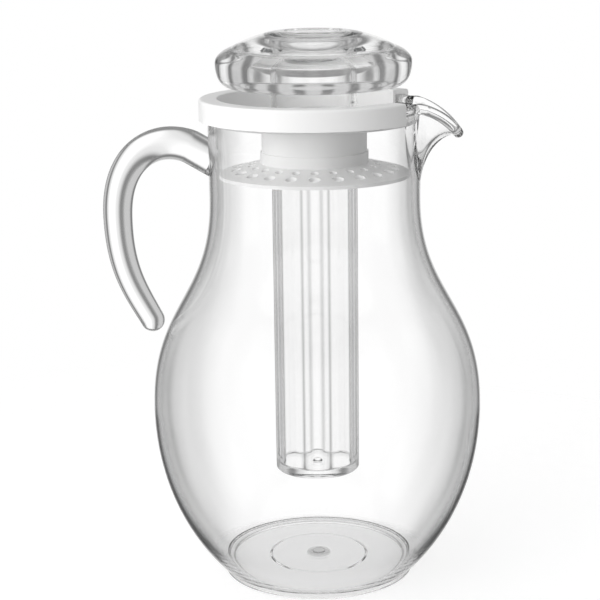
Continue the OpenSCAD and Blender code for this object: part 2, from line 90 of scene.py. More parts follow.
# Knob: dome, round rim, hollow, stem and plug
KNOB_R, KNOB_Z, KNOB_TOP_Z, KNOB_LOW_Z = 43.5, 236.0, 249.6, 225.0
SHOULDER_R, SHOULDER_Z, DOME_EDGE = 40.0, 241.0, 2.0
HOLLOW_R, HOLLOW_RIM_R, HOLLOW_TURN_Z, HOLLOW_ROOF_Z = 29.3, 35.406, 236.4, 245.6
DISH_R, DISH_DEEP = 13.3, 0.5
STEM_R, STEM_BORE_R, STEM_LOW_Z, STEM_TAPER = 19.2, 16.7, 206.0, 2.5
PLUG_R, PLUG_BORE_R, PLUG_LOW_Z = 16.6, 13.4, 198.0
GROOVE_R, GROOVE_LOW_Z, GROOVE_TOP_Z = 14.74, 200.2, 202.36
DOME_TOP_SHARE, DOME_LOW_SHARE, DOME_LEAN_SHARE = 0.32, 0.7, 0.49
RIM_OUT_SHARE, RIM_TOP_SHARE, RIM_MID_SHARE = 0.36, 0.8, 0.5
BELLY_SIDE_SHARE, BELLY_LOW_SHARE = 0.81, 0.47

# ---- fineness of the meshes: numbers of stretches, and longest stretches in millimetres

WALL_STEPS, RIM_STEPS, BEAD_STEPS, SPOUT_ARC_STEPS = 40, 44, 22, 60
SPOUT_COLUMNS, OTHER_COLUMNS, SPOUT_SPAN_DEG = 112, 200, 26
ROD_STEPS, ROD_SIDES, ROD_END_RINGS, ROD_END_DEG = 60, 56, 9, 9.5
TUBE_COLUMNS, TUBE_LEVELS, TUBE_ROUND_STEPS, TUBE_FLOOR_STEPS = 288, 40, 6, 6
KNOB_COLUMNS, DOME_STEPS, RIM_CURVE_STEPS, BELLY_STEPS = 224, 36, 18, 32
FINE_STRETCH, KNOB_STRETCH, TUBE_STRETCH = 2.0, 2.5, 3.0
INNER_THIRDS = (0.33, 0.66)
SHARP_DEG = 32

# ---- light. A sector: azimuth in degrees (0 is behind the object, 90 on its right), full within,
# gone at, strength. A span of heights: gone below, full from, full to, gone above.

# World, its heights on the unit sphere
THROUGH_BASE, THROUGH_TOP, TOP_SPAN = 0.22, 0.45, (0.3, 0.85)
MIRROR_BASE, MIRROR_TOP = 0.1, 0.4
FRONT, FRONT_SPAN = (-190, 84, 98, 0.9), (-0.9, -0.6, 0.4, 0.7)
BACK, BACK_SPAN = (0, 6, 24, 0.7), (-0.8, -0.55, 0.1, 0.3)
SOFT_BASE, SOFT_TOP, SOFT_SIDE = 0.35, 0.3, (-100, 40, 110, 0.5)
# Studio wall in metres, its heights from the wall's middle
WALL_R, WALL_H, WALL_SEGMENTS = 0.5, 1.1, 180
MAIN_PANEL, SOFT_PANEL, SIDE_PANELS = (0, 7, 14, 0.26), (0, 14, 24, 0.6), (0, 8, 20, 0.38)
SIDES, PANEL_SPAN = 8, (-0.42, -0.2, 0.34, 0.46)
# Floor in metres: full within and gone at, seen straight and through clear pieces; and its own glow
FLOOR_R, FLOOR_SEGMENTS, FLOOR_Z = 0.6, 96, -0.0002
FLOOR_SEEN, FLOOR_SEEN_THROUGH = (0.13, 0.4), (0.045, 0.06)
FLOOR_COLOUR, FLOOR_FILL, FILL_THROUGH = (0.9, 0.9, 0.9, 1), 0.26, 0.45
# Key lamp in metres and watts
KEY_PLACE, KEY_AIM, KEY_SIZE, KEY_POWER = (-1.0, -0.95, 0.5), (0, 0, 0.15), 0.7, 9.5
# Thick clear pieces go dark inside with the usual limits
LIGHT_BOUNCES = 32

# ---- camera, fitted to the photograph
CAMERA_PLACE, CAMERA_CLIP = (0, -0.7327, 0.3025), (0.05, 20)
CAMERA_LENS, CAMERA_SENSOR = 99.08, 36.0
CAMERA_TILT, CAMERA_ROLL = math.radians(13.41), math.radians(-0.64)
CAMERA_YAW = math.atan(16 / 1651.3)

# ---- materials
WHITE = (1, 1, 1, 1)
CLEAR_IOR, CLEAR_SHADOW = 1.5, (0.95, 0.95, 0.95, 1)
JUG_WAVE, MOULDED_WAVE = 0.05, 0.03
GATE_GREY, GATE_FADE_OUT, GATE_FADE_IN = (0.6, 0.6, 0.6, 1), 0.2, 0.3
GATE_SPOT_TOP_Z, GATE_SPOT_FULL_Z = 9.0, 7.0
NOISE_SPAN = (0.35, 0.65)


# ---- outlines in the half plane of radius and height

def mix(a, b, t):
    return a + (b - a) * t


def bezier(a, b, c, d, n):
    """n + 1 points of a cubic curve."""
    out = []
    for i in range(n + 1):
        t = i / n
        u = 1 - t
        w = (u * u * u, 3 * u * u * t, 3 * u * t * t, t * t * t)
        out.append(tuple(sum(k * p[j] for k, p in zip(w, (a, b, c, d))) for j in (0, 1)))
    return out


def offset(points, distances):
    """The curve moved to its left by the given distances."""
    out = []
    for i, p in enumerate(points):
        a, b = points[max(i - 1, 0)], points[min(i + 1, len(points) - 1)]
        t = Vector((b[0] - a[0], b[1] - a[1])).normalized()
        out.append((p[0] - distances[i] * t.y, p[1] + distances[i] * t.x))
    return out


def fillet(corners, steps=6):
    """Outline through (r, z, radius) corners, each rounded by its own radius."""
    out = []
    for i, (x, z, r) in enumerate(corners):
        p = Vector((x, z))
        if r <= 0 or i in (0, len(corners) - 1):
            out.append((x, z))
            continue
        a = Vector(corners[i - 1][:2]) - p
        b = Vector(corners[i + 1][:2]) - p
        half = a.angle(b) / 2
        reach = min(r / math.tan(half), 0.48 * a.length, 0.48 * b.length)
        r = reach * math.tan(half)
        a.normalize()
        b.normalize()
        centre = p + (a + b).normalized() * (r / math.sin(half))
        start, end = p + a * reach - centre, p + b * reach - centre
        turn = start.angle_signed(end)
        for k in range(steps + 1):
            w = -turn * k / steps
            out.append((centre.x + start.x * math.cos(w) - start.y * math.sin(w),
                        centre.y + start.x * math.sin(w) + start.y * math.cos(w)))
    return out


def refine(points, longest):
    """Adds points so that no stretch is longer than the given length."""
    out = [points[0]]
    for a, b in zip(points, points[1:]):
        n = max(1, math.ceil(math.dist(a, b) / longest))
        out += [(mix(a[0], b[0], k / n), mix(a[1], b[1], k / n)) for k in range(1, n + 1)]
    return out


def resample(points, count):
    """The same line in count even stretches."""
    lengths = [0.0]
    for a, b in zip(points, points[1:]):
        lengths.append(lengths[-1] + math.dist(a, b))
    out, k = [], 0
    for i in range(count + 1):
        at = lengths[-1] * i / count
        while k < len(points) - 2 and lengths[k + 1] < at:
            k += 1
        t = (at - lengths[k]) / max(1e-9, lengths[k + 1] - lengths[k])
        out.append((mix(points[k][0], points[k + 1][0], t), mix(points[k][1], points[k + 1][1], t)))
    return out


# ---- meshes

def all_round(count):
    return [2 * math.pi * i / count for i in range(count)]


def grid_mesh(name, columns, azimuths):
    """A skin from one outline per azimuth, all of the same length, joined all the way round.
    Outline points on the axis become one shared pole."""
    bm = bmesh.new()
    poles = {}
    verts = []
    for outline, w in zip(columns, azimuths):
        column = []
        for j, (r, z) in enumerate(outline):
            if r < 1e-6:
                if j not in poles:
                    poles[j] = bm.verts.new((0, 0, z * MM))
                column.append(poles[j])
            else:
                column.append(bm.verts.new((r * math.cos(w) * MM, r * math.sin(w) * MM, z * MM)))
        verts.append(column)
    for i, a in enumerate(verts):
        b = verts[(i + 1) % len(verts)]
        for j in range(len(a) - 1):
            corners = list(dict.fromkeys((a[j], b[j], b[j + 1], a[j + 1])))
            if len(corners) > 2:
                bm.faces.new(corners)
    bmesh.ops.recalc_face_normals(bm, faces=bm.faces)
    return finish_mesh(name, bm)


def finish_mesh(name, bm):
    mesh = bpy.data.meshes.new(name)
    bm.to_mesh(mesh)
    bm.free()
    mesh.polygons.foreach_set("use_smooth", [True] * len(mesh.polygons))
    obj = bpy.data.objects.new(name, mesh)
    bpy.context.scene.collection.objects.link(obj)
    return obj


def unite(a, b):
    """Joins solid b into solid a, so that no inner skin is left between them."""
    m = a.modifiers.new("union", "BOOLEAN")
    m.operation = "UNION"
    m.solver = "EXACT"
    m.object = b
    bpy.context.view_layer.update()
    deps = bpy.context.evaluated_depsgraph_get()
    mesh = bpy.data.meshes.new_from_object(a.evaluated_get(deps))
    a.modifiers.clear()
    a.data = mesh
    bpy.data.objects.remove(b)
    mesh.polygons.foreach_set("use_smooth", [True] * len(mesh.polygons))
    mesh.set_sharp_from_angle(angle=math.radians(SHARP_DEG))


# ---- the jug: bulb, neck and falling spout

def lip_height(x):
    """Height of the rolled edge's centre line at the distance x along the spout."""
    if x <= BEAD_OUT_R:
        return BEAD_Z
    start = Vector((BEAD_OUT_R, BEAD_Z))
    span = Vector((SPOUT_TIP_R, SPOUT_TIP_Z)) - start
    rise = math.sqrt(LIP_FALL_R ** 2 - (span.length / 2) ** 2)
    centre = start + span / 2 + rise * Vector((span.y, -span.x)) / span.length
    return centre.y + math.sqrt(max(0.0, LIP_FALL_R ** 2 - (x - centre.x) ** 2))


def ridge(w):
    """How far the spout stands out at the azimuth w, as a share of its reach."""
    t = math.degrees(w) / SPOUT_HALF_DEG
    return (1 - t * t) ** SPOUT_POWER if abs(t) < 1 else 0.0


def lip_point(w):
    r = mix(BEAD_OUT_R, SPOUT_TIP_R, ridge(w))
    return Vector((r * math.cos(w), r * math.sin(w), lip_height(r * math.cos(w))))


def bead_section(w):
    """The rolled edge cut by the upright plane at the azimuth w: an ellipse, as its centre, long
    half axis and short half axis."""
    step = 0.002
    along = (lip_point(w + step) - lip_point(w - step)).normalized()
    out, side = Vector((math.cos(w), math.sin(w), 0)), Vector((-math.sin(w), math.cos(w), 0))
    flat = Vector((along.dot(out), along.z))
    long_way = flat.normalized() if flat.length > 1e-6 else Vector((1, 0))
    at = lip_point(w)
    stretch = BEAD_R / max(0.35, abs(along.dot(side)))
    short_way = Vector((-long_way.y, long_way.x))
    return Vector((at.dot(out), at.z)), long_way * stretch, short_way * BEAD_R


def up_to_bead(line, bead):
    """The part of a wall's line below the bead, and the bead's angle at which it ends."""
    centre, long_way, short_way = bead

    def place(p):
        d = Vector(p) - centre
        return [d.dot(axis) / axis.length_squared for axis in (long_way, short_way)]

    for i in range(1, len(line)):
        if math.hypot(*place(line[i])) <= 1:
            a, b = line[i - 1], line[i]
            low, high = 0.0, 1.0
            for _ in range(24):
                middle = (low + high) / 2
                p = (mix(a[0], b[0], middle), mix(a[1], b[1], middle))
                low, high = (low, middle) if math.hypot(*place(p)) <= 1 else (middle, high)
            p = (mix(a[0], b[0], low), mix(a[1], b[1], low))
            u, v = place(p)
            return line[:i] + [p], math.atan2(v, u)
    raise ValueError("a wall misses the bead")


def spout_wall(share, neck, spare, to, low, high):
    """One wall from the throat to the edge, swung out by the spout's share of its reach."""
    line = []
    for i in range(SPOUT_ARC_STEPS + 1):
        a = math.radians(90 / SPOUT_ARC_STEPS * i)
        reach = neck - spare + (to - neck + spare) * share * (1 - math.cos(a))
        line.append((max(neck, reach), mix(low, high, math.sin(a))))
    return line


def rim_outline(w):
    """Outside wall, rolled edge and inside wall above the neck's foot, at the azimuth w."""
    share, edge = ridge(w), lip_point(w).z
    bead = centre, long_way, short_way = bead_section(w)
    outer, start = up_to_bead(spout_wall(share, NECK_R, SPARE_OUT, SPOUT_TIP_R,
                                         THROAT_OUT_Z, edge - EDGE_UNDER), bead)
    inner, end = up_to_bead(spout_wall(share, BORE_R, SPARE_IN, SPOUT_TIP_R - EDGE_IN,
                                       THROAT_IN_Z, edge + EDGE_OVER), bead)
    sweep = (end - start) % (2 * math.pi)
    over = [centre + long_way * math.cos(start + sweep * i / BEAD_STEPS)
            + short_way * math.sin(start + sweep * i / BEAD_STEPS) for i in range(1, BEAD_STEPS)]
    return (resample(outer, RIM_STEPS) + [tuple(p) for p in over]
            + list(reversed(resample(inner, RIM_STEPS))))


def underside(wall):
    """Stepped middle, hollow and foot ring, from the axis to the wall's second point."""
    step_z = FOOT_HOLLOW + STEP_DEEP
    foot_in = FOOT_R - FOOT_W
    return fillet([(0, step_z, 0), (STEP_R - STEP_SLOPE, step_z, 0.1),
                   (STEP_R, step_z + STEP_GROOVE, 0.1), (STEP_R + STEP_SLOPE, FOOT_HOLLOW, 0.1),
                   (foot_in, FOOT_HOLLOW, 0.6), (foot_in, 0, 0.7), (FOOT_R, 0, 0.9),
                   (FOOT_R, FOOT_H, 0.35), wall[0] + (0.6,), wall[1] + (0,)])


def inner_floor(start, floor_z):
    """The turn from the wall into the floor, and the floor with the gate's mark in its middle."""
    rings = range(GATE_RINGS + 1)
    mark = [(mix(GATE_MARK_R, GATE_R, k / GATE_RINGS), floor_z + GATE_RIDGE * (k % 2), 0)
            for k in rings]
    mark += [(GATE_R * (1 - k / GATE_RINGS), floor_z + GATE_H - GATE_RIDGE * (k % 2), 0)
             for k in rings]
    return fillet([start + (0,), (start[0] - TURN_IN, floor_z, TURN_R)] + mark, 8)


def jug_columns(azimuths):
    """The jug's whole skin at each azimuth: underside, outside, rim, inside and floor."""
    low_span, high_span = BULB_Z - FOOT_H, NECK_Z - BULB_Z
    heel = FOOT_R + HEEL_OUT
    low = bezier((heel, FOOT_H),
                 (heel + HEEL_LEAN_SHARE * (BULB_R - heel), FOOT_H + HEEL_RISE_SHARE * low_span),
                 (BULB_R, BULB_Z - BULB_DOWN_SHARE * low_span), (BULB_R, BULB_Z), WALL_STEPS)
    high = bezier((BULB_R, BULB_Z), (BULB_R, BULB_Z + BULB_UP_SHARE * high_span),
                  (NECK_R, NECK_Z - NECK_DOWN_SHARE * high_span), (NECK_R, NECK_Z), WALL_STEPS)
    along = [i / WALL_STEPS for i in range(WALL_STEPS + 1)]
    low_in = offset(low, [mix(FLOOR_WALL, BULB_WALL, t) for t in along])
    high_in = offset(high, [mix(BULB_WALL, NECK_WALL, t) for t in along])
    floor_z = FOOT_HOLLOW + FLOOR_WALL
    free = [p for p in low_in if p[1] > floor_z + TURN_UP]
    outside = refine(underside(low), FINE_STRETCH) + low[2:] + high[1:]
    inside = (list(reversed(free + high_in[1:]))
              + refine(inner_floor(free[0], floor_z)[1:], FINE_STRETCH))
    below_rim = [(NECK_R, mix(NECK_Z, THROAT_OUT_Z, 0.5))]
    below_throat = [(BORE_R, mix(THROAT_IN_Z, NECK_Z, t)) for t in INNER_THIRDS]
    return [outside + below_rim + rim_outline(w) + below_throat + inside for w in azimuths]


# ---- the handle

def rod_line():
    """Centre line of the handle, from the neck to the middle of its free end."""
    rod_span, drop = GRIP_REACH - NECK_R, GRIP_Z - TIP_Z
    root, grip = (-NECK_R, ROOT_Z), (-GRIP_REACH, GRIP_Z)
    rod = bezier(root, (root[0] - ROOT_OUT_SHARE * rod_span, root[1] + ROOT_UP_SHARE * rod_span),
                 (-GRIP_REACH, GRIP_Z + GRIP_UP_SHARE * drop), grip, ROD_STEPS)
    rod += bezier(grip, (-GRIP_REACH, GRIP_Z - GRIP_DOWN_SHARE * drop),
                  (-TIP_REACH - TIP_LEAN_SHARE * (GRIP_REACH - TIP_REACH),
                   TIP_Z + TIP_UP_SHARE * drop),
                  (-TIP_REACH, TIP_Z), ROD_STEPS)[1:]
    straight = ROOT_STRAIGHT_SHARE * 2 * ROOT_R
    return [root] + [p for p in rod if math.dist(p, root) > straight]


def handle_mesh():
    """The rod from inside the neck's wall to its rounded free end."""
    rod = rod_line()
    last = len(rod) - 1
    bm = bmesh.new()
    rings = []

    def ring(at, t, r, to_neck=False):
        points = []
        for w in all_round(ROD_SIDES):
            p = [at[0] - r * math.cos(w) * t.y, r * math.sin(w), at[1] + r * math.cos(w) * t.x]
            if to_neck:
                x = -math.sqrt((NECK_R - 0.5 * NECK_WALL) ** 2 - p[1] ** 2)
                p[2] += (x - p[0]) / t.x * t.y
                p[0] = x
            points.append(bm.verts.new((p[0] * MM, p[1] * MM, p[2] * MM)))
        rings.append(points)

    def way(i):
        a, b = rod[max(i - 1, 0)], rod[min(i + 1, last)]
        return Vector((b[0] - a[0], b[1] - a[1])).normalized()

    for share in INNER_THIRDS + (1.0,):
        ring(rod[0], way(0), ROOT_R * share, True)
    for i in range(1, last + 1):
        s = 2 * i / last
        ring(rod[i], way(i), mix(ROOT_R, GRIP_R, s) if s < 1 else mix(GRIP_R, TIP_R, s - 1))
    t = way(last)
    for k in range(1, ROD_END_RINGS + 1):
        w = math.radians(ROD_END_DEG * k)
        out = TIP_R * math.sin(w)
        ring((rod[last][0] + out * t.x, rod[last][1] + out * t.y), t, TIP_R * math.cos(w))
    for a, b in zip(rings, rings[1:]):
        for k in range(ROD_SIDES):
            j = (k + 1) % ROD_SIDES
            bm.faces.new((a[k], b[k], b[j], a[j]))
    bm.faces.new(rings[0])
    bm.faces.new(rings[-1])
    bmesh.ops.recalc_face_normals(bm, faces=bm.faces)
    return finish_mesh("handle_rod", bm)


def make_jug():
    """Jug and handle as one skin, with finer columns round the spout."""
    near, far = SPOUT_SPAN_DEG, 360 - SPOUT_SPAN_DEG
    azimuths = [math.radians(mix(-near, near, i / SPOUT_COLUMNS)) for i in range(SPOUT_COLUMNS)]
    azimuths += [math.radians(mix(near, far, i / OTHER_COLUMNS)) for i in range(OTHER_COLUMNS)]
    jug = grid_mesh("clear_jug", jug_columns(azimuths), azimuths)
    unite(jug, handle_mesh())
    return jug


# ---- the ice tube, fluted inside

def flute_radius(w):
    """Distance of the fluted bore from the axis at the angle w, its ridges rounded."""
    part = 2 * math.pi / FLUTES
    d = abs((w + math.pi / 2 + part / 2) % part - part / 2)
    side = min(d, part / 2 - RIDGE_SOFT)
    across, along = FLUTE_CENTRE * math.sin(side), FLUTE_CENTRE * math.cos(side)
    root = math.sqrt(FLUTE_R ** 2 - across ** 2)
    slope = across + across * along / root
    past = d - side
    return along + root - slope * (past - past * past / (2 * RIDGE_SOFT))


def make_tube():
    azimuths = all_round(TUBE_COLUMNS)
    taper_z = TUBE_NECK_Z - (TUBE_NECK_R - TUBE_R)
    outside = refine(fillet([(0, TUBE_LOW_Z, 0), (TUBE_R, TUBE_LOW_Z, TUBE_EDGE_R),
                             (TUBE_R, taper_z, TUBE_BEND_R),
                             (TUBE_NECK_R, TUBE_NECK_Z, TUBE_BEND_R),
                             (TUBE_NECK_R, TUBE_TOP_Z, TUBE_BEND_R),
                             (MOUTH_R, TUBE_TOP_Z, TUBE_BEND_R), (MOUTH_R, MOUTH_Z, MOUTH_BEND_R),
                             (MOUTH_R - MOUTH_STEP, MOUTH_Z, 0)]), TUBE_STRETCH)
    floor_z = TUBE_LOW_Z + TUBE_FLOOR
    turn_z = floor_z + TUBE_EDGE_R
    turns = [math.radians(90 / TUBE_ROUND_STEPS * k) for k in range(1, TUBE_ROUND_STEPS + 1)]
    mark = [(r, floor_z + up) for r, up in TUBE_MARK]
    columns = []
    for w in azimuths:
        r = flute_radius(w)
        wall = [(r, mix(MOUTH_Z, turn_z, i / TUBE_LEVELS)) for i in range(TUBE_LEVELS + 1)]
        foot = [(r - TUBE_EDGE_R * (1 - math.cos(a)), turn_z - TUBE_EDGE_R * math.sin(a))
                for a in turns]
        base = [(mix(r - TUBE_EDGE_R, TUBE_MARK_R, i / TUBE_FLOOR_STEPS), floor_z)
                for i in range(1, TUBE_FLOOR_STEPS + 1)]
        columns.append(outside + wall + foot + base + mark)
    return grid_mesh("clear_ice_tube", columns, azimuths)


# ---- the knob

def knob_outside():
    """Dome, round rim and belly, from the dish's edge to the hollow's rim."""
    dome = bezier((DISH_R, KNOB_TOP_Z), (mix(DISH_R, SHOULDER_R, DOME_TOP_SHARE), KNOB_TOP_Z),
                  (mix(DISH_R, SHOULDER_R, DOME_LOW_SHARE),
                   mix(SHOULDER_Z, KNOB_TOP_Z, DOME_LEAN_SHARE)),
                  (SHOULDER_R, SHOULDER_Z), DOME_STEPS)
    dome += bezier((SHOULDER_R, SHOULDER_Z),
                   (mix(SHOULDER_R, KNOB_R, RIM_OUT_SHARE), mix(KNOB_Z, SHOULDER_Z, RIM_TOP_SHARE)),
                   (KNOB_R, mix(KNOB_Z, SHOULDER_Z, RIM_MID_SHARE)),
                   (KNOB_R, KNOB_Z), RIM_CURVE_STEPS)[1:]
    belly = bezier((KNOB_R, KNOB_Z), (KNOB_R, mix(KNOB_Z, KNOB_LOW_Z, BELLY_SIDE_SHARE)),
                   (mix(HOLLOW_RIM_R, KNOB_R, BELLY_LOW_SHARE), KNOB_LOW_Z),
                   (HOLLOW_RIM_R, KNOB_LOW_Z), BELLY_STEPS)
    return dome, belly


def make_knob():
    dome, belly = knob_outside()
    dish_z = KNOB_TOP_Z - DISH_DEEP
    top = fillet([(0, dish_z, 0), (DISH_R - DISH_DEEP, dish_z, 0.3), (DISH_R, KNOB_TOP_Z, 0.3),
                  dome[1] + (0,)])
    hollow = [(HOLLOW_RIM_R, KNOB_LOW_Z, 0.8),
              (HOLLOW_R, KNOB_LOW_Z + HOLLOW_RIM_R - HOLLOW_R, 1.0), (HOLLOW_R, HOLLOW_TURN_Z, 1.5),
              (SHOULDER_R - DOME_EDGE, SHOULDER_Z - DOME_EDGE, 1.0)]
    stem = [(STEM_R, HOLLOW_ROOF_Z, 1.5), (STEM_R, STEM_LOW_Z, 0.3), (PLUG_R, STEM_LOW_Z, 0.2)]
    groove = [(PLUG_R, GROOVE_TOP_Z, 0.15), (GROOVE_R, GROOVE_TOP_Z, 0.2),
              (GROOVE_R, GROOVE_LOW_Z, 0.2), (PLUG_R, GROOVE_LOW_Z, 0.15)]
    bore = [(PLUG_R, PLUG_LOW_Z, 0.5), (PLUG_BORE_R, PLUG_LOW_Z, 0.3),
            (PLUG_BORE_R, STEM_LOW_Z, 0.5), (STEM_BORE_R, STEM_LOW_Z + STEM_TAPER, 0.5),
            (STEM_BORE_R, HOLLOW_ROOF_Z, 3.0), (0, HOLLOW_ROOF_Z, 0)]
    low = fillet([belly[-2] + (0,)] + hollow + stem + groove + bore, 8)
    top = refine(top, FINE_STRETCH)
    outline = refine(top[:-1] + dome[1:] + belly[1:-1] + low[1:], KNOB_STRETCH)
    return grid_mesh("clear_knob", [outline] * KNOB_COLUMNS, all_round(KNOB_COLUMNS))


# ---- short calls for shader nodes

class Nodes:
    """Short calls for the nodes of one tree."""

    def __init__(self, tree, fresh=True):
        if fresh:
            tree.nodes.clear()
        self.tree = tree

    def coord(self, name):
        return self.put("ShaderNodeTexCoord").outputs[name]

    def ray(self, name):
        """1 for rays of this kind, else 0."""
        return self.put("ShaderNodeLightPath").outputs["Is " + name + " Ray"]

    def put(self, kind, *inputs, **settings):
        """A node with its settings; each input is a number, a vector, or a socket to link."""
        n = self.tree.nodes.new(kind)
        for key, value in settings.items():
            setattr(n, key, value)
        for i, v in enumerate(inputs):
            if v is None:
                continue
            if isinstance(v, bpy.types.NodeSocket):
                self.tree.links.new(v, n.inputs[i])
            else:
                n.inputs[i].default_value = v
        return n

    def sum(self, operation, *values):
        return self.put("ShaderNodeMath", *values, operation=operation).outputs["Value"]

    def pick(self, factor, a, b):
        """a where the factor is 0, b where it is 1."""
        return self.put("ShaderNodeMix", factor, None, a, b).outputs[0]

    def blend(self, factor, a, b, socket):
        """Sends a mix of two colours to a socket."""
        colour = self.put("ShaderNodeMix", factor, data_type="RGBA")
        colour.inputs[6].default_value = a
        colour.inputs[7].default_value = b
        self.tree.links.new(colour.outputs[2], socket)

    def noise(self, scale, detail, stretch=(1, 1, 1)):
        """Noise in the piece's own space."""
        mapping = self.put("ShaderNodeMapping", self.coord("Object"))
        mapping.inputs["Scale"].default_value = stretch
        tex = self.put("ShaderNodeTexNoise", mapping.outputs["Vector"])
        tex.inputs["Scale"].default_value = scale
        tex.inputs["Detail"].default_value = detail
        return tex.outputs["Fac"]

    def spread(self, value, low, high, socket):
        """Sends a noise to a socket, mapped to the range low to high."""
        m = self.put("ShaderNodeMapRange", value, *NOISE_SPAN, low, high)
        self.tree.links.new(m.outputs["Result"], socket)

    def bump(self, shader, height, strength, distance):
        b = self.tree.nodes.new("ShaderNodeBump")
        b.inputs["Strength"].default_value = strength
        b.inputs["Distance"].default_value = distance
        self.tree.links.new(height, b.inputs["Height"])
        self.tree.links.new(b.outputs["Normal"], shader.inputs["Normal"])

    def fade(self, value, none, full, strength=1.0):
        """0 at none, the strength at full, smooth between."""
        return self.put("ShaderNodeMapRange", value, none, full, 0.0, strength,
                        interpolation_type="SMOOTHSTEP").outputs["Result"]

    def between(self, value, none_low, full_low, full_high, none_high):
        return self.sum("MULTIPLY", self.fade(value, none_low, full_low),
                        self.fade(value, none_high, full_high))

    def sector(self, azimuth, middle, full, none, strength, times=1):
        """Light within full degrees of an azimuth, gone at none degrees, so many times a turn."""
        away = self.sum("SUBTRACT", azimuth, math.radians(middle))
        turn = self.sum("COSINE", self.sum("MULTIPLY", away, times))
        return self.fade(turn, math.cos(times * math.radians(none)),
                         math.cos(times * math.radians(full)), strength)

    def azimuth_and_height(self, source):
        parts = self.put("ShaderNodeSeparateXYZ", source)
        return self.sum("ARCTAN2", parts.outputs["X"], parts.outputs["Y"]), parts.outputs["Z"]


# ---- materials

def principled(name, **values):
    """A material whose Principled sockets hold plain values."""
    m = bpy.data.materials.new(name)
    m.use_nodes = True
    shader = m.node_tree.nodes["Principled BSDF"]
    for key, value in values.items():
        shader.inputs[key.replace("_", " ")].default_value = value
    return m, Nodes(m.node_tree, False), shader


def clear_plastic(name, wave):
    """Polished clear plastic, with the slow waviness of a moulding. Lamps and soft light pass
    straight through."""
    m, n, shader = principled(name, Base_Color=WHITE, Transmission_Weight=1.0, IOR=CLEAR_IOR)
    n.spread(n.noise(scale=60.0, detail=4.0), 0.0, 0.02, shader.inputs["Roughness"])
    n.bump(shader, n.noise(scale=14.0, detail=1.0, stretch=(1, 1, 0.45)), wave, 1 * MM)
    passing = n.sum("MAXIMUM", n.ray("Shadow"), n.ray("Diffuse"))
    clear = n.put("ShaderNodeBsdfTransparent", CLEAR_SHADOW)
    both = n.put("ShaderNodeMixShader", passing, shader.outputs["BSDF"], clear.outputs["BSDF"])
    n.tree.links.new(both.outputs["Shader"], n.tree.nodes["Material Output"].inputs["Surface"])
    return m


def gate_mark(material):
    """Adds the matt grey spot that the mould's gate leaves in the middle of the jug's floor."""
    n = Nodes(material.node_tree, False)
    parts = n.put("ShaderNodeSeparateXYZ", n.coord("Object"))
    x, y, z = (parts.outputs[k] for k in "XYZ")
    reach = n.sum("SQRT", n.sum("ADD", n.sum("MULTIPLY", x, x), n.sum("MULTIPLY", y, y)))
    across = n.fade(reach, (GATE_MARK_R + GATE_FADE_OUT) * MM, (GATE_MARK_R - GATE_FADE_IN) * MM)
    spot = n.sum("MULTIPLY", across, n.fade(z, GATE_SPOT_TOP_Z * MM, GATE_SPOT_FULL_Z * MM))
    n.blend(spot, WHITE, GATE_GREY, n.tree.nodes["Principled BSDF"].inputs["Base Color"])
    return material


def white_plastic():
    m, n, shader = principled("white_moulded_plastic", IOR=1.48)
    n.blend(n.noise(scale=25.0, detail=4.0), (0.86, 0.86, 0.86, 1), (0.89, 0.89, 0.885, 1),
            shader.inputs["Base Color"])
    n.spread(n.noise(scale=180.0, detail=3.0), 0.28, 0.4, shader.inputs["Roughness"])
    n.bump(shader, n.noise(scale=900.0, detail=2.0), 0.06, 0.2 * MM)
    return m


def seal_rubber():
    m, n, shader = principled("silicone_seal", IOR=1.41, Transmission_Weight=0.25)
    n.blend(n.noise(scale=60.0, detail=3.0), (0.7, 0.71, 0.72, 1), (0.76, 0.77, 0.78, 1),
            shader.inputs["Base Color"])
    n.spread(n.noise(scale=300.0, detail=2.0), 0.35, 0.5, shader.inputs["Roughness"])
    n.bump(shader, n.noise(scale=700.0, detail=2.0), 0.1, 0.1 * MM)
    return m


def paint(obj, material):
    obj.data.materials.clear()
    obj.data.materials.append(material)


# ---- world, wall, floor, camera and lamp

def make_world():
    """White for the camera. Mirrored light is bright in front and dim beside and above; what
    shines through meets the studio's wall, and over it a soft panel. Matt pieces get a plain soft
    light, stronger from the left."""
    world = bpy.data.worlds.new("studio")
    bpy.context.scene.world = world
    world.use_nodes = True
    n = Nodes(world.node_tree)
    azimuth, z = n.azimuth_and_height(n.coord("Generated"))
    top = n.fade(z, *TOP_SPAN)
    through = n.sum("ADD", n.sum("MULTIPLY", top, THROUGH_TOP), THROUGH_BASE)
    front = n.sum("MULTIPLY", n.sector(azimuth, *FRONT), n.between(z, *FRONT_SPAN))
    back = n.sum("MULTIPLY", n.sector(azimuth, *BACK), n.between(z, *BACK_SPAN))
    mirrored = n.sum("ADD", n.sum("ADD", n.sum("MAXIMUM", front, back), MIRROR_BASE),
                     n.sum("MULTIPLY", top, MIRROR_TOP))
    soft = n.sum("ADD", n.sum("ADD", n.sector(azimuth, *SOFT_SIDE),
                              n.sum("MULTIPLY", top, SOFT_TOP)), SOFT_BASE)
    value = n.pick(n.ray("Glossy"), soft, mirrored)
    value = n.pick(n.ray("Transmission"), value, through)
    value = n.pick(n.ray("Camera"), value, 1.0)
    shade = n.put("ShaderNodeBackground", WHITE, value)
    n.put("ShaderNodeOutputWorld", shade.outputs["Background"])


def stage_material(name):
    m = bpy.data.materials.new(name)
    m.use_nodes = True
    return m, Nodes(m.node_tree)


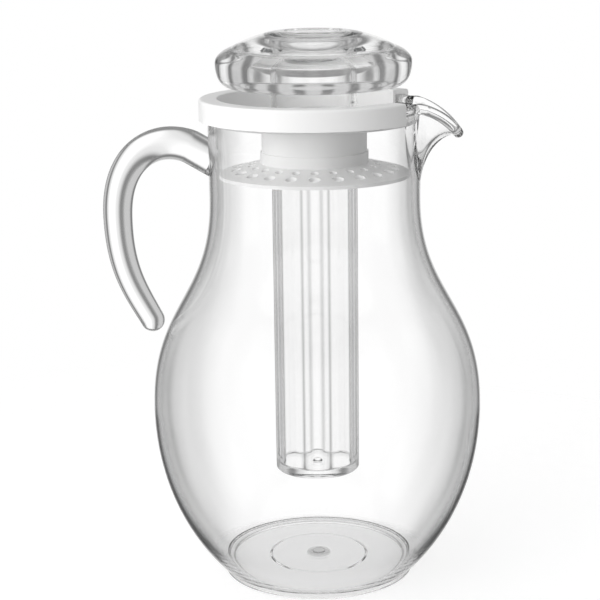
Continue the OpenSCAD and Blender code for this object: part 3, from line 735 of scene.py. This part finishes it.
def make_wall():
    """A ring round the object that only light through clear pieces meets: a broad white panel
    behind the object and narrower, dimmer ones every 45 degrees, for the other views."""
    bm = bmesh.new()
    bmesh.ops.create_cone(bm, cap_ends=False, segments=WALL_SEGMENTS, radius1=WALL_R,
                          radius2=WALL_R, depth=WALL_H)
    wall = finish_mesh("studio_wall", bm)
    m, n = stage_material("studio_wall")
    azimuth, z = n.azimuth_and_height(n.coord("Object"))
    behind = n.sum("ADD", n.sector(azimuth, *MAIN_PANEL), n.sector(azimuth, *SOFT_PANEL))
    panels = n.sum("MAXIMUM", behind, n.sector(azimuth, *SIDE_PANELS, SIDES))
    light = n.sum("ADD", n.sum("MULTIPLY", panels, n.between(z, *PANEL_SPAN)), THROUGH_BASE)
    glow = n.put("ShaderNodeEmission", WHITE, light)
    clear = n.put("ShaderNodeBsdfTransparent", WHITE)
    both = n.put("ShaderNodeMixShader", n.ray("Transmission"), clear.outputs["BSDF"],
                 glow.outputs["Emission"])
    n.put("ShaderNodeOutputMaterial", both.outputs["Shader"])
    paint(wall, m)


def make_floor():
    """A pale floor that carries the soft shadow and fades into the white round it. Mirrored rays
    don't meet it, and rays through clear pieces meet only its middle."""
    bm = bmesh.new()
    bmesh.ops.create_circle(bm, cap_ends=True, cap_tris=True, segments=FLOOR_SEGMENTS,
                            radius=FLOOR_R)
    floor = finish_mesh("studio_floor", bm)
    floor.location.z = FLOOR_Z
    m, n = stage_material("studio_floor")
    reach = n.put("ShaderNodeVectorMath", n.coord("Object"), operation="LENGTH").outputs["Value"]
    through = n.ray("Transmission")
    hidden = n.sum("MAXIMUM", n.ray("Glossy"), n.fade(reach, *FLOOR_SEEN))
    gone = n.pick(through, hidden, n.fade(reach, *FLOOR_SEEN_THROUGH))
    viewed = n.sum("MULTIPLY_ADD", through, FILL_THROUGH, n.ray("Camera"))
    diffuse = n.put("ShaderNodeBsdfDiffuse", FLOOR_COLOUR)
    glow = n.put("ShaderNodeEmission", WHITE, n.sum("MULTIPLY", viewed, FLOOR_FILL))
    add = n.put("ShaderNodeAddShader", diffuse.outputs["BSDF"], glow.outputs["Emission"])
    clear = n.put("ShaderNodeBsdfTransparent", WHITE)
    both = n.put("ShaderNodeMixShader", gone, add.outputs["Shader"], clear.outputs["BSDF"])
    n.put("ShaderNodeOutputMaterial", both.outputs["Shader"])
    paint(floor, m)


def make_camera():
    data = bpy.data.cameras.new("camera")
    data.lens, data.sensor_width = CAMERA_LENS, CAMERA_SENSOR
    data.clip_start, data.clip_end = CAMERA_CLIP
    camera = bpy.data.objects.new("camera", data)
    bpy.context.scene.collection.objects.link(camera)
    turn = (Matrix.Rotation(math.radians(90) - CAMERA_TILT, 4, "X")
            @ Matrix.Rotation(CAMERA_YAW, 4, "Y") @ Matrix.Rotation(CAMERA_ROLL, 4, "Z"))
    camera.matrix_world = Matrix.Translation(CAMERA_PLACE) @ turn
    bpy.context.scene.camera = camera


def make_lamp():
    """The key light, which neither mirrors nor shines through the clear pieces as a shape."""
    data = bpy.data.lights.new("key", "AREA")
    data.shape = "RECTANGLE"
    data.size = data.size_y = KEY_SIZE
    data.energy = KEY_POWER
    lamp = bpy.data.objects.new("key", data)
    lamp.location = KEY_PLACE
    aim = Vector(KEY_AIM) - Vector(KEY_PLACE)
    lamp.rotation_euler = aim.to_track_quat("-Z", "Y").to_euler()
    lamp.visible_glossy = False
    lamp.visible_transmission = False
    bpy.context.scene.collection.objects.link(lamp)


def main():
    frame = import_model()
    bpy.context.scene.view_settings.view_transform = "Standard"
    cycles = bpy.context.scene.cycles
    cycles.max_bounces = cycles.glossy_bounces = LIGHT_BOUNCES
    cycles.transmission_bounces = cycles.transparent_max_bounces = LIGHT_BOUNCES
    make_camera()
    make_world()
    make_lamp()
    make_floor()
    make_wall()

    jug_clear = gate_mark(clear_plastic("clear_plastic_jug", JUG_WAVE))
    tube_clear = clear_plastic("clear_plastic_tube", MOULDED_WAVE)
    knob_clear = clear_plastic("clear_plastic_knob", MOULDED_WAVE)
    white, seal = white_plastic(), seal_rubber()

    for piece, material, body, nodes in (
            (make_jug(), jug_clear, "jug", ("jug_body", "handle")),
            (make_tube(), tube_clear, "ice_tube", ("ice_tube",)),
            (make_knob(), knob_clear, "knob", ("knob",))):
        paint(piece, material)
        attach(piece, body)
        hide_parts(*nodes)
    for node in ("lid", "strainer"):
        paint(frame["nodes"][node], white)
    for node in ("tube_seal_ring", "knob_o_ring"):
        paint(frame["nodes"][node], seal)


main()
